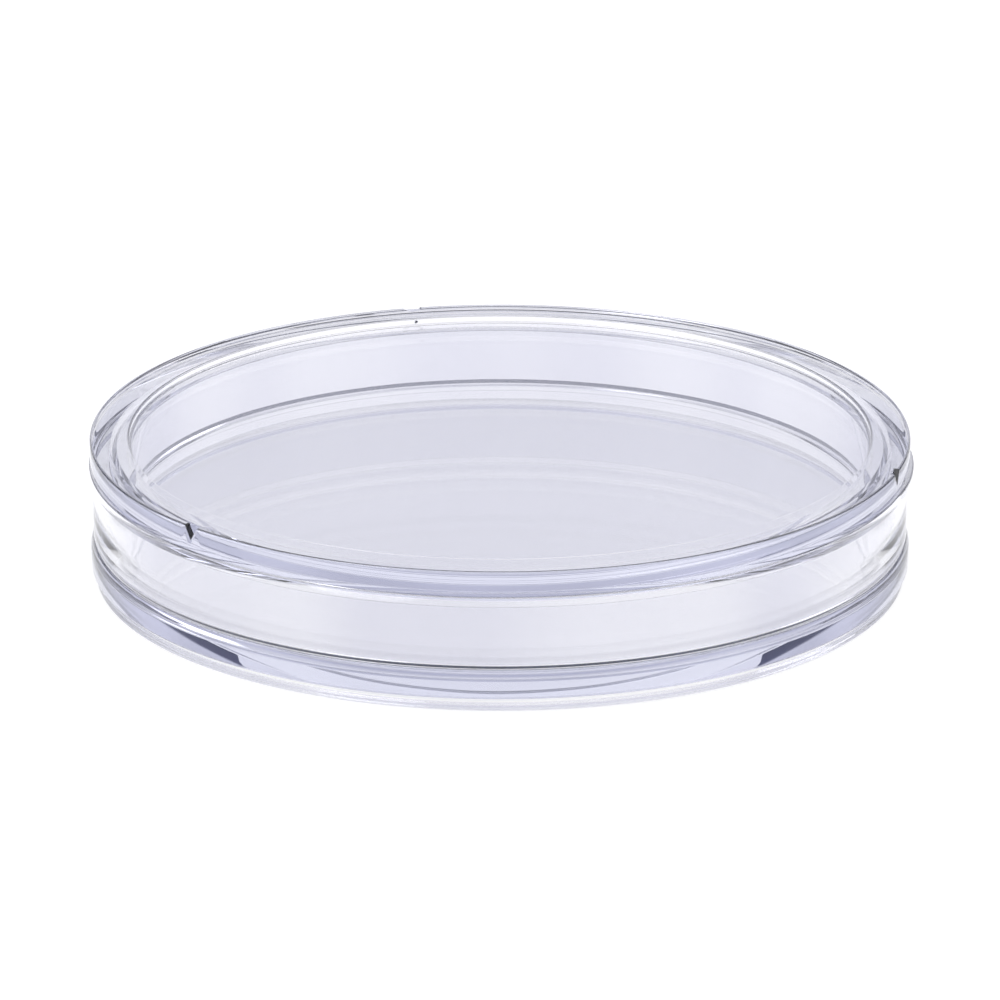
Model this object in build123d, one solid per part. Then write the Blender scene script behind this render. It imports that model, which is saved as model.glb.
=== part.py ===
from build123d import *
from math import cos, radians, sin
import os

# A round snap-together capsule for one large silver coin, moulded in clear polystyrene.
# Two mouldings: a base with a raised ring that the coin drops into, and a lid whose skirt
# slides down over that ring.  Millimetres, +Z up, origin at the centre of the underside.

# ---- the coin that the capsule is made for
coin_d = 40.6
coin_t = 4.00
coin_side_gap = 0.20       # all round the coin's edge
coin_face_gap = 0.10       # over and under the coin

# ---- walls and panes
ring_wall = 1.05           # the base's ring, which the coin sits in
skirt_wall = 1.00          # the lid's skirt, outside the ring
floor_t = 1.55             # the base's pane
window_t = 1.50            # the lid's pane

# ---- how the lid fits the base
ring_gap = 0.10            # radial, between the ring and the skirt
ring_top_gap = 0.10        # between the ring's top and the lid's pane
seam_rise = 0.50           # how far the seam is above the base's pane
bead_gap = 0.03            # radial, left over the snap bead's crest as the lid slides
bead_w = 0.80              # height of the snap bead
bead_drop = 1.60           # from the ring's top to the middle of the bead
groove_extra = 0.10        # how much wider and deeper than the bead its groove is

# ---- rims that stand out past the two panes
top_rim_h = 0.40           # rim above the lid's pane
foot_rim_h = 0.35          # rim below the base's pane
rim_w = 2.20               # width of the flat top rim
foot_w = 2.00              # width of the flat foot ring
band_out = 0.15            # lid's top band, past the skirt
band_h = 1.15              # height of that band
line_in = 0.12             # fine groove under the band, in from the band
line_h = 0.30              # height of that groove
lip_out = 0.20             # lip under the groove, past the skirt
lip_h = 0.55               # height of the lip
flange_out = 0.15          # base's flange, past the skirt
flange_h = 1.15            # height of the flange's straight side
foot_in = 0.25             # how far the foot is set in from the flange
foot_h = 0.75              # height of the foot's side
notch_in = 0.14            # notch along the seam, cut in from the skirt's foot
notch_h = 0.20             # height of that notch

# ---- opening tab, a crescent on the lip for a thumbnail
tab_out = 0.15             # past the lip
tab_curve_r = 18.0         # radius of the crescent's outer edge
tab_angle = -4.0           # degrees round from +X

# ---- edges
edge_r = 0.14              # rounded outer edges
line_round = 0.05          # rounds on the fine groove and the lip
seam_r = 0.10              # rounds each side of the seam between lid and base
root_r = 0.16              # fillets where a rim meets a pane
lead_in = 0.25             # chamfer at the top of the ring

# ---- trimmed gates, evenly round the top edge of the lid's band
gate_count = 3
gate_angle = -17.0         # the first, degrees round from +X
gate_w = 1.20
gate_h = 0.80
gate_depth = 0.35

# ---- worked out from the sizes above
seat_r = coin_d / 2 + coin_side_gap
ring_r = seat_r + ring_wall
skirt_in_r = ring_r + ring_gap
wall_r = skirt_in_r + skirt_wall
band_r = wall_r + band_out
line_radius = band_r - line_in
lip_r = wall_r + lip_out
tab_r = lip_r + tab_out
flange_r = wall_r + flange_out
foot_r = flange_r - foot_in

floor_under_z = foot_rim_h
floor_z = floor_under_z + floor_t
seam_z = floor_z + seam_rise
window_under_z = floor_z + coin_t + 2 * coin_face_gap
window_top_z = window_under_z + window_t
top_z = window_top_z + top_rim_h
line_top_z = top_z - band_h
lip_top_z = line_top_z - line_h
lip_under_z = lip_top_z - lip_h
ring_top_z = window_under_z - ring_top_gap
bead_z = ring_top_z - bead_drop
bead_out = ring_gap - bead_gap


def turned(points, rounds):
    """A solid of revolution about Z from an (r, z) outline, with some corners rounded.

    rounds lists (radius, [corner, ...]); each corner is one of the outline's points."""
    face = make_face(Plane.XZ * Polyline(*points, close=True))
    for radius, corners in rounds:
        places = [Vector(r, 0, z) for r, z in corners]
        picked = [v for v in face.vertices() if any((Vector(*v) - p).length < 1e-6 for p in places)]
        face = fillet(picked, radius)
    return revolve(face, Axis.Z)


def snap_ring(wall, out, width):
    """A shallow triangular ridge all round a wall of radius wall, its middle at bead_z."""
    points = [
        (wall - ring_wall / 2, bead_z - width / 2),
        (wall, bead_z - width / 2),
        (wall + out, bead_z),
        (wall, bead_z + width / 2),
        (wall - ring_wall / 2, bead_z + width / 2),
    ]
    return turned(points, [])


def make_base():
    """Pane, foot ring, outer flange and the raised ring, in one moulding."""
    foot_outer = (foot_r, 0)
    foot_inner = (foot_r - foot_w, 0)
    recess_root = (foot_r - foot_w, floor_under_z)
    foot_top = (foot_r, foot_h)
    flange_low = (flange_r, foot_h)
    flange_high = (flange_r, foot_h + flange_h)
    shoulder = (wall_r, seam_z)
    ring_root = (ring_r, seam_z)
    ring_outer = (ring_r, ring_top_z - lead_in)
    ring_top = (ring_r - lead_in, ring_top_z)
    ring_inner = (seat_r, ring_top_z)
    seat_root = (seat_r, floor_z)
    outline = [
        (0, floor_under_z), recess_root, foot_inner, foot_outer, foot_top, flange_low, flange_high,
        shoulder, ring_root, ring_outer, ring_top, ring_inner, seat_root, (0, floor_z),
    ]
    rounds = [
        (edge_r, [foot_outer, foot_inner, flange_low, flange_high]),
        (root_r, [recess_root]),
        (seam_r, [shoulder, ring_inner]),
    ]
    return turned(outline, rounds) + snap_ring(ring_r, bead_out, bead_w)


def outward(angle):
    """The unit direction away from the axis at an angle round from +X."""
    return Vector(cos(radians(angle)), sin(radians(angle)), 0)


def opening_tab():
    """The crescent that stands out of the lip, cut off inside the skirt's wall."""
    centre = outward(tab_angle) * (tab_r - tab_curve_r) + Vector(0, 0, lip_under_z)
    disc = extrude(Plane(centre) * Circle(tab_curve_r), lip_h)
    inside = extrude(Plane((0, 0, lip_under_z)) * Circle(wall_r - skirt_wall / 2), lip_h)
    return disc - inside


def gate_mark(angle):
    """The wedge that trimming a gate leaves in the outer face of the lid's band."""
    half = gate_w / 2
    outline = Polyline((-half, top_z + edge_r), (half, top_z + edge_r), (0, top_z - gate_h), close=True)
    out = outward(angle)
    plane = Plane(origin=out * (band_r + edge_r), x_dir=Vector(0, 0, 1).cross(out), z_dir=out)
    return extrude(plane * make_face(outline), -(gate_depth + edge_r))


def make_lid():
    """Pane, raised top rim with its band and lip, and the skirt, in one moulding."""
    rim_inner = (band_r - rim_w, top_z)
    window_root = (band_r - rim_w, window_top_z)
    rim_outer = (band_r, top_z)
    band_foot = (band_r, line_top_z)
    line_high = (line_radius, line_top_z)
    line_low = (line_radius, lip_top_z)
    lip_high = (lip_r, lip_top_z)
    lip_low = (lip_r, lip_under_z)
    lip_root = (wall_r, lip_under_z)
    notch_top = (wall_r, seam_z + notch_h)
    notch_foot = (wall_r - notch_in, seam_z)
    skirt_inner = (skirt_in_r, seam_z)
    roof_root = (skirt_in_r, window_under_z)
    outline = [
        (0, window_under_z), roof_root, skirt_inner, notch_foot, notch_top, lip_root, lip_low,
        lip_high, line_low, line_high, band_foot, rim_outer, rim_inner, window_root, (0, window_top_z),
    ]
    rounds = [
        (edge_r, [rim_outer, rim_inner]),
        (line_round, [band_foot, lip_high, lip_low]),
        (root_r, [window_root]),
        (seam_r, [skirt_inner]),
    ]
    body = turned(outline, rounds)
    body -= snap_ring(skirt_in_r, groove_extra, bead_w + 2 * groove_extra)
    body += opening_tab()
    for place in range(gate_count):
        body -= gate_mark(gate_angle + place * 360 / gate_count)
    return body


parts = {"base": make_base(), "lid": make_lid()}

os.makedirs("parts", exist_ok=True)
for name, solid in parts.items():
    export_step(solid, os.path.join("parts", name + ".step"))

print("outside", round(lip_r + tab_r, 3), "x", round(top_z, 3), "mm")
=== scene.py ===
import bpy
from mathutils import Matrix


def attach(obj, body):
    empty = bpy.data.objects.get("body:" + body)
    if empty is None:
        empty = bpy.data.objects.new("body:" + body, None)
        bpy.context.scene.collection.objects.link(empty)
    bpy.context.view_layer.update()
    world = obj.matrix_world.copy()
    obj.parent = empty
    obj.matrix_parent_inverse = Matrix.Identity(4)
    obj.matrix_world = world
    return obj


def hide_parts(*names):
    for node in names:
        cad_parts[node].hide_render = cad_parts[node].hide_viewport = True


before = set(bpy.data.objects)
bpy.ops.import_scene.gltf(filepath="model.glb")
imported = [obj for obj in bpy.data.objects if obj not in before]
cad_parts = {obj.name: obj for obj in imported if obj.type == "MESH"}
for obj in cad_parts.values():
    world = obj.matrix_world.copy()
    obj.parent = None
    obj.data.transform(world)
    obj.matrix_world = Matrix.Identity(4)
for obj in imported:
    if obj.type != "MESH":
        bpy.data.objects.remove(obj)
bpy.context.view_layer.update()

import bpy
import bmesh
import math

MM = 0.001
scene = bpy.context.scene


# ---------------------------------------------------------------- table top
# A wide sheet of matt white acrylic, lit from below so that no shadow falls on it.  The capsule
# lies on it; it belongs to the studio and not to the object.

def node(tree, kind, links=None, **settings):
    """Adds a shader node.  links feeds its inputs, as {input: (node, output)}; settings gives the
    values of its other inputs, with _ for a space, and of its own options."""
    made = tree.nodes.new(kind)
    for name, value in settings.items():
        socket = made.inputs.get(name.replace("_", " "))
        if socket is None:
            setattr(made, name, value)
        else:
            socket.default_value = value
    for name, (source, output) in (links or {}).items():
        tree.links.new(source.outputs[output], made.inputs[name])
    return made


def linear(colour):
    """An sRGB hex colour as linear red, green, blue and alpha."""
    shares = [int(colour[i:i + 2], 16) / 255 for i in (0, 2, 4)]
    return [s / 12.92 if s <= 0.04045 else ((s + 0.055) / 1.055) ** 2.4 for s in shares] + [1.0]


TABLE_R = 1.2
TABLE_Z = -0.02 * MM             # a hair under the foot, so that the two faces never coincide

bpy.ops.object.select_all(action="DESELECT")
bpy.ops.mesh.primitive_circle_add(vertices=96, radius=TABLE_R, fill_type="NGON", location=(0, 0, TABLE_Z))
table = bpy.context.object
table.name = "table_top"
bpy.ops.object.transform_apply(location=True, rotation=True, scale=True)

# opal acrylic: matt, evenly white, with most of its light coming through from below
opal = bpy.data.materials.new("opal_acrylic_backlit")
opal.use_nodes = True
tree = opal.node_tree
tree.nodes.clear()
matt = node(tree, "ShaderNodeBsdfDiffuse", Color=linear("8C8C90"))
lit = node(tree, "ShaderNodeEmission", Color=linear("FFFFFF"), Strength=0.86)
both = node(tree, "ShaderNodeAddShader")
tree.links.new(matt.outputs["BSDF"], both.inputs[0])
tree.links.new(lit.outputs["Emission"], both.inputs[1])
node(tree, "ShaderNodeOutputMaterial", {"Surface": (both, "Shader")})
table.data.materials.append(opal)


# ---------------------------------------------------------------- studio light
# A white tent: cool grey sides, a bright top and two round soft lamps.  Its foot is hung with white
# cloth but for two dark gaps at the back, which show as navy patches in the plastic's edge.

scene.view_settings.view_transform = "Standard"
scene.cycles.max_bounces = 40
scene.cycles.transmission_bounces = 36
scene.cycles.glossy_bounces = 24
scene.cycles.diffuse_bounces = 4
scene.cycles.sample_clamp_indirect = 8
scene.cycles.use_denoising = True


def maths(tree, operation, *values, clamp=False):
    """A sum on one or more values, each a (node, output) or a number.  Returns (node, output)."""
    made = node(tree, "ShaderNodeMath", operation=operation, use_clamp=clamp)
    for slot, value in enumerate(values):
        if isinstance(value, tuple):
            tree.links.new(value[0].outputs[value[1]], made.inputs[slot])
        else:
            made.inputs[slot].default_value = value
    return made, "Value"


def blend(tree, share, first, second):
    """The first colour turning into the second as the share goes from 0 to 1, each colour a hex
    string or a (node, output).  Returns (node, output)."""
    made = node(tree, "ShaderNodeMix", {"Factor": share}, data_type="RGBA")
    for slot, colour in ((6, first), (7, second)):
        if isinstance(colour, tuple):
            tree.links.new(colour[0].outputs[colour[1]], made.inputs[slot])
        else:
            made.inputs[slot].default_value = linear(colour)
    return made, 2


tent = bpy.data.worlds.new("white_tent")
scene.world = tent
tent.use_nodes = True
tree = tent.node_tree
tree.nodes.clear()
towards = node(tree, "ShaderNodeTexCoord")
split = node(tree, "ShaderNodeSeparateXYZ", {"Vector": (towards, "Generated")})
walls = node(tree, "ShaderNodeValToRGB", {"Fac": (split, "Z")})
stops = walls.color_ramp.elements
stops[0].position, stops[0].color = 0.0, linear("1A2148")
stops[1].position, stops[1].color = 1.0, linear("FFFFFF")
for sine, grey in ((0.20, "283060"), (0.25, "DADBE9"), (0.42, "DCDDEA"), (0.49, "F6F6FC")):
    stops.new(sine).color = linear(grey)

# folds in the tent's cloth: broad and soft, upright, all the way round
ground = node(tree, "ShaderNodeVectorMath", {"Vector": (towards, "Generated")}, operation="MULTIPLY")
ground.inputs[1].default_value = (1, 1, 0)
folds = node(tree, "ShaderNodeTexNoise", {"Vector": (ground, "Vector")}, Scale=2.6, Detail=0.5)
light = node(tree, "ShaderNodeMapRange", {"Value": (folds, "Fac")},
             From_Min=0.35, From_Max=0.65, To_Min=0.86, To_Max=1.10), "Result"

# the gaps at the tent's foot, each between two bearings in degrees from +X
GAPS = ((31, 60), (120, 148))
CLOTH_SINE, CLEAR_SINE = 0.20, 0.24    # the cloth's edge: the sines of its two heights
bearing = maths(tree, "ARCTAN2", (split, "Y"), (split, "X"))
gap = 0.0
for first, last in GAPS:
    middle, half = math.radians((first + last) / 2), math.radians((last - first) / 2)
    gap = maths(tree, "MAXIMUM", maths(tree, "COMPARE", bearing, middle, half), gap)
low = node(tree, "ShaderNodeMapRange", {"Value": (split, "Z")},
           From_Min=CLOTH_SINE, From_Max=CLEAR_SINE, To_Min=1.0, To_Max=0.0)
hung = maths(tree, "SUBTRACT", (low, "Result"), gap, clamp=True)
cloth = blend(tree, hung, (walls, "Color"), "F4F4FA")

# the lamps: bearing, height and half width in degrees, and strength
for around, above, width, power in ((215, 52, 15, 2.6), (40, 38, 11, 2.0)):
    az, el = math.radians(around), math.radians(above)
    facing = node(tree, "ShaderNodeVectorMath", {"Vector": (towards, "Generated")}, operation="DOT_PRODUCT")
    facing.inputs[1].default_value = (math.cos(el) * math.cos(az), math.cos(el) * math.sin(az), math.sin(el))
    lamp = node(tree, "ShaderNodeMapRange", {"Value": (facing, "Value")}, interpolation_type="SMOOTHSTEP",
                From_Min=math.cos(math.radians(width * 1.15)), From_Max=math.cos(math.radians(width * 0.85)),
                To_Max=power)
    light = maths(tree, "ADD", light, (lamp, "Result"))
glow = node(tree, "ShaderNodeBackground", {"Color": cloth, "Strength": light})

# straight behind the capsule hangs a plain white sheet, which lights nothing
sheet = node(tree, "ShaderNodeBackground", Color=linear("FFFFFF"), Strength=1.0)
path = node(tree, "ShaderNodeLightPath")
seen = node(tree, "ShaderNodeMixShader", {"Fac": (path, "Is Camera Ray")})
tree.links.new(glow.outputs["Background"], seen.inputs[1])
tree.links.new(sheet.outputs["Background"], seen.inputs[2])
node(tree, "ShaderNodeOutputWorld", {"Surface": (seen, "Shader")})


# ---------------------------------------------------------------- base
# The lower half: a clear pane with a ring standing up round the coin and a flange outside it.
# One injection moulding in crystal polystyrene; the lid's skirt slides down over its ring.

STEPS = 360                      # flats round the axis, one to a degree
AXIS_R = 5.0                     # the panes are closed by a disc of this radius
SEAT_R, RING_R, WALL_R = 20.5, 21.55, 22.65
FLANGE_R, FOOT_R, FOOT_INNER_R = 22.80, 22.55, 20.55
PANE_FOOT_Z, FLANGE_FOOT_Z, PANE_TOP_Z, SEAM_Z, RING_TOP_Z = 0.35, 0.75, 1.90, 2.40, 6.00
BEAD_Z, BEAD_HALF_H, BEAD_OUT = 4.40, 0.40, 0.07
LEAD_IN = 0.25                   # the slope at the ring's top that guides the skirt
EDGE_ROUND, ROOT_ROUND, SEAM_ROUND, LINE_ROUND = 0.14, 0.16, 0.10, 0.05


def turn(name, outline, rounds):
    """A closed moulding turned about Z from an outline of (radius, height) points in millimetres,
    from under the pane round to its top.  rounds lists (radius, segments, corners to round)."""
    bpy.ops.object.select_all(action="DESELECT")
    radius, height = outline[0]
    bpy.ops.mesh.primitive_circle_add(vertices=STEPS, radius=radius * MM, fill_type="NGON",
                                      location=(0, 0, height * MM))
    piece = bpy.context.object
    piece.name = name
    bpy.ops.object.transform_apply(location=True, rotation=True, scale=True)
    bpy.ops.object.mode_set(mode="EDIT")
    bpy.ops.mesh.select_mode(type="EDGE")
    bpy.ops.mesh.select_all(action="SELECT")
    for next_radius, next_height in outline[1:]:
        bpy.ops.mesh.extrude_edges_move()
        spread = next_radius / radius
        bpy.ops.transform.resize(value=(spread, spread, 1), center_override=(0, 0, 0))
        bpy.ops.transform.translate(value=(0, 0, (next_height - height) * MM))
        radius, height = next_radius, next_height
    bpy.ops.mesh.edge_face_add()
    bpy.ops.mesh.select_all(action="SELECT")
    bpy.ops.mesh.normals_make_consistent(inside=False)
    for size, segments, corners in rounds:
        bpy.ops.mesh.select_all(action="DESELECT")
        mesh = bmesh.from_edit_mesh(piece.data)
        for edge in mesh.edges:
            ends = [(math.hypot(v.co.x, v.co.y) / MM, v.co.z / MM) for v in edge.verts]
            edge.select_set(any(all(math.dist(end, corner) < 0.01 for end in ends) for corner in corners))
        bmesh.update_edit_mesh(piece.data)
        bpy.ops.mesh.bevel(offset=size * MM, segments=segments, affect="EDGES", clamp_overlap=False)
    bpy.ops.object.mode_set(mode="OBJECT")
    return piece


def polish(piece):
    """Smooth over the rounds and true on the flats, as a polished mould leaves it."""
    bpy.ops.object.select_all(action="DESELECT")
    piece.select_set(True)
    bpy.context.view_layer.objects.active = piece
    bpy.ops.object.shade_smooth_by_angle(angle=math.radians(32))
    flats = piece.modifiers.new("true_flats", "WEIGHTED_NORMAL")
    flats.keep_sharp = True
    flats.weight = 100
    bpy.ops.object.modifier_apply(modifier=flats.name)


def crystal_polystyrene(name, painted_shade_lines):
    """Clear polystyrene moulded against polished steel: glass clear, a faint cool tint in the thick
    of the rim, soft upright highlights painted into the colour of the walls, a slow ripple, and dark
    lines of painted shade at the edges and corners where the clear plastic shows dark.  The dark
    lines are listed as (least radius, height, half width, strength), in millimetres and with a strength from
    0 to 1."""
    material = bpy.data.materials.new(name)
    material.use_nodes = True
    tree = material.node_tree
    tree.nodes.clear()
    place = node(tree, "ShaderNodeTexCoord")
    split = node(tree, "ShaderNodeSeparateXYZ", {"Vector": (place, "Object")})
    flat = node(tree, "ShaderNodeCombineXYZ", {"X": (split, "X"), "Y": (split, "Y")})
    radius = node(tree, "ShaderNodeVectorMath", {"Vector": (flat, "Vector")}, operation="LENGTH")

    # painted shade: dark lines at the listed heights on the outer edges, gathered into one mask from 0 to 1
    painted_shade = 0.0
    for least, height, half, strength in painted_shade_lines:
        level = maths(tree, "COMPARE", (split, "Z"), height * MM, half * MM)
        outside = maths(tree, "GREATER_THAN", (radius, "Value"), least * MM)
        line = maths(tree, "MULTIPLY", maths(tree, "MULTIPLY", level, outside), strength)
        painted_shade = maths(tree, "ADD", line, painted_shade, clamp=True)

    # painted highlights: soft upright patches about 8 mm wide, only on the walls, outside the coin
    highlight_patches = node(tree, "ShaderNodeTexNoise", {"Vector": (flat, "Vector")}, Scale=110, Detail=0.0)
    highlight_patch = node(tree, "ShaderNodeMapRange", {"Value": (highlight_patches, "Fac")}, interpolation_type="SMOOTHSTEP",
               From_Min=0.36, From_Max=0.62)
    wall = maths(tree, "GREATER_THAN", (radius, "Value"), (SEAT_R - 0.1) * MM)
    # painted highlight: in the patches the clear colour F7F7FA is lifted to FEFEFF
    clear = blend(tree, maths(tree, "MULTIPLY", (highlight_patch, "Result"), wall), "F7F7FA", "FEFEFF")
    # painted shade: where the dark lines lie, the colour turns to near-black navy
    colour = blend(tree, painted_shade, clear, "0A0D1A")

    flow = node(tree, "ShaderNodeTexNoise", {"Vector": (place, "Object")}, Scale=90, Detail=1.0)
    ripple = node(tree, "ShaderNodeBump", {"Height": (flow, "Fac")}, Strength=1.0, Distance=0.004 * MM)
    skin = node(tree, "ShaderNodeBsdfPrincipled", {"Base Color": colour, "Normal": (ripple, "Normal")},
                Roughness=0.0, IOR=1.59, Transmission_Weight=1.0)
    inside = node(tree, "ShaderNodeVolumeAbsorption", Color=linear("C0C4DE"), Density=17.0)
    node(tree, "ShaderNodeOutputMaterial", {"Surface": (skin, "BSDF"), "Volume": (inside, "Volume")})
    return material


foot_inner, foot_outer, recess_root = (FOOT_INNER_R, 0.0), (FOOT_R, 0.0), (FOOT_INNER_R, PANE_FOOT_Z)
flange_low, flange_high = (FLANGE_R, FLANGE_FOOT_Z), (FLANGE_R, PANE_TOP_Z)
shoulder, ring_inner = (WALL_R, SEAM_Z), (SEAT_R, RING_TOP_Z)
base = turn(
    "base_moulding",
    [
        (AXIS_R, PANE_FOOT_Z), recess_root, foot_inner, foot_outer, (FOOT_R, FLANGE_FOOT_Z), flange_low,
        flange_high, shoulder, (RING_R, SEAM_Z), (RING_R, BEAD_Z - BEAD_HALF_H), (RING_R + BEAD_OUT, BEAD_Z),
        (RING_R, BEAD_Z + BEAD_HALF_H), (RING_R, RING_TOP_Z - LEAD_IN), (RING_R - LEAD_IN, RING_TOP_Z),
        ring_inner, (SEAT_R, PANE_TOP_Z), (AXIS_R, PANE_TOP_Z),
    ],
    [
        (EDGE_ROUND, 6, [foot_inner, foot_outer, flange_low, flange_high]),
        (ROOT_ROUND, 6, [recess_root]),
        (SEAM_ROUND, 5, [shoulder, ring_inner]),
    ],
)
polish(base)
base.data.materials.append(crystal_polystyrene(
    "crystal_polystyrene_base",
    [
        # painted shade: dark lines at the flange's foot and at its top edge, level with the pane's top
        (22.4, FLANGE_FOOT_Z + 0.01, 0.03, 0.6),
        (22.4, PANE_TOP_Z, 0.02, 0.4),
    ]))
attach(base, "base")
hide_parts("base")


# ---------------------------------------------------------------- lid
# The upper half: a clear pane just inside a raised rim, and a skirt that slides down over the
# base's ring.  The same polystyrene, with a groove and a lip round it to lift by, a low thumb tab
# on the lip, and three nicks where its gates were clipped off.

SKIRT_IN_R, RIM_INNER_R, BAND_R, LINE_R, LIP_R = 21.65, 20.60, 22.80, 22.68, 22.85
WINDOW_FOOT_Z, WINDOW_TOP_Z, TOP_Z = 6.10, 7.60, 8.00
LIP_FOOT_Z, LIP_TOP_Z, LINE_TOP_Z = 6.00, 6.55, 6.85
GROOVE_HALF_H, GROOVE_DEPTH = 0.50, 0.10
NOTCH_IN, NOTCH_H = 0.14, 0.20
SEAT_GAP = 0.012                 # the lid rests this much clear of the base, on dust and draught
FOOT_Z = SEAM_Z + SEAT_GAP

rim_inner, rim_outer, window_root = (RIM_INNER_R, TOP_Z), (BAND_R, TOP_Z), (RIM_INNER_R, WINDOW_TOP_Z)
band_foot, lip_high, lip_low = (BAND_R, LINE_TOP_Z), (LIP_R, LIP_TOP_Z), (LIP_R, LIP_FOOT_Z)
skirt_inner = (SKIRT_IN_R, FOOT_Z)
lid = turn(
    "lid_moulding",
    [
        (AXIS_R, WINDOW_FOOT_Z), (SKIRT_IN_R, WINDOW_FOOT_Z), (SKIRT_IN_R, BEAD_Z + GROOVE_HALF_H),
        (SKIRT_IN_R + GROOVE_DEPTH, BEAD_Z), (SKIRT_IN_R, BEAD_Z - GROOVE_HALF_H), skirt_inner,
        (WALL_R - NOTCH_IN, FOOT_Z), (WALL_R, SEAM_Z + NOTCH_H), (WALL_R, LIP_FOOT_Z), lip_low, lip_high,
        (LINE_R, LIP_TOP_Z), (LINE_R, LINE_TOP_Z), band_foot, rim_outer, rim_inner, window_root,
        (AXIS_R, WINDOW_TOP_Z),
    ],
    [
        (EDGE_ROUND, 6, [rim_outer, rim_inner]),
        (LINE_ROUND, 3, [band_foot, lip_high, lip_low]),
        (ROOT_ROUND, 6, [window_root]),
        (SEAM_ROUND, 5, [skirt_inner]),
    ],
)

# the thumb tab: the lip drawn out to a crescent of 18 mm radius, column by column
TAB_R, TAB_CURVE_R, TAB_ANGLE = 23.0, 18.0, -4.0
bpy.ops.object.mode_set(mode="EDIT")
bpy.ops.mesh.select_mode(type="VERT")
for column in range(-17, 10):
    turned = math.radians(column)
    away = turned - math.radians(TAB_ANGLE)
    offset = TAB_R - TAB_CURVE_R
    reach = offset * math.cos(away) + math.sqrt(TAB_CURVE_R ** 2 - (offset * math.sin(away)) ** 2) - LIP_R
    if reach <= 0:
        continue
    bpy.ops.mesh.select_all(action="DESELECT")
    mesh = bmesh.from_edit_mesh(lid.data)
    for vertex in mesh.verts:
        x, y, z = vertex.co
        on_lip = math.hypot(x, y) > (LINE_R + 0.07) * MM and LIP_FOOT_Z - 0.01 < z / MM < LIP_TOP_Z + 0.01
        vertex.select_set(on_lip and abs(math.atan2(y, x) - turned) < math.radians(0.4))
    mesh.select_flush_mode()
    bmesh.update_edit_mesh(lid.data)
    bpy.ops.transform.translate(value=(reach * MM * math.cos(turned), reach * MM * math.sin(turned), 0))
bpy.ops.object.mode_set(mode="OBJECT")

# the nicks: a three-sided cutter pointing down into the top edge of the band
GATE_ANGLES = (-17, 103, 223)
NICK_HALF_W, NICK_H, NICK_DEPTH, NICK_OVER = 0.60, 0.80, 0.35, 0.14
wide = NICK_HALF_W / (math.sqrt(3) / 2)
tall = (NICK_H + NICK_OVER) / 1.5
for angle in GATE_ANGLES:
    turned = math.radians(angle)
    bpy.ops.object.select_all(action="DESELECT")
    bpy.ops.mesh.primitive_cylinder_add(vertices=3, radius=MM, depth=2 * NICK_DEPTH * MM)
    cutter = bpy.context.object
    cutter.scale = (wide, tall, 1)
    cutter.rotation_euler = (-math.pi / 2, 0, turned - math.pi / 2)
    cutter.location = (BAND_R * MM * math.cos(turned), BAND_R * MM * math.sin(turned),
                       (TOP_Z - NICK_H + tall) * MM)
    bpy.context.view_layer.update()
    cut = lid.modifiers.new("nick", "BOOLEAN")
    cut.operation = "DIFFERENCE"
    cut.solver = "EXACT"
    cut.object = cutter
    bpy.context.view_layer.objects.active = lid
    bpy.ops.object.modifier_apply(modifier=cut.name)
    bpy.data.objects.remove(cutter, do_unlink=True)

# a cutter's corner on a column of the mesh leaves doubled points, which are merged
bpy.ops.object.select_all(action="DESELECT")
lid.select_set(True)
bpy.ops.object.mode_set(mode="EDIT")
bpy.ops.mesh.select_mode(type="VERT")
bpy.ops.mesh.select_all(action="SELECT")
bpy.ops.mesh.remove_doubles(threshold=0.001 * MM)
bpy.ops.object.mode_set(mode="OBJECT")
polish(lid)
lid.data.materials.append(crystal_polystyrene(
    "crystal_polystyrene_lid",
    [
        # painted shade: a dark line at the seam with the base, the darkest, and dark lines at the lip's
        # foot, the lip's top and the band's foot
        (22.45, SEAM_Z + NOTCH_H / 2, 0.105, 1.0),
        (22.6, LIP_FOOT_Z, 0.04, 0.45),
        (22.6, LIP_TOP_Z, 0.025, 0.3),
        (22.6, LINE_TOP_Z, 0.025, 0.3),
    ]))
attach(lid, "lid")
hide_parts("lid")


# ---------------------------------------------------------------- camera
# A long lens half a metre away, looking down on the capsule at nineteen and a half degrees.

DISTANCE = 0.483
ELEVATION = math.radians(19.5)
eye = bpy.data.cameras.new("camera")
eye.sensor_width = 36
eye.lens = 312
eye.clip_start, eye.clip_end = 0.01, 10
camera = bpy.data.objects.new("camera", eye)
scene.collection.objects.link(camera)
camera.location = (0, -DISTANCE * math.cos(ELEVATION), TOP_Z / 2 * MM + DISTANCE * math.sin(ELEVATION))
camera.rotation_euler = (math.pi / 2 - ELEVATION, 0, 0)
scene.camera = camera
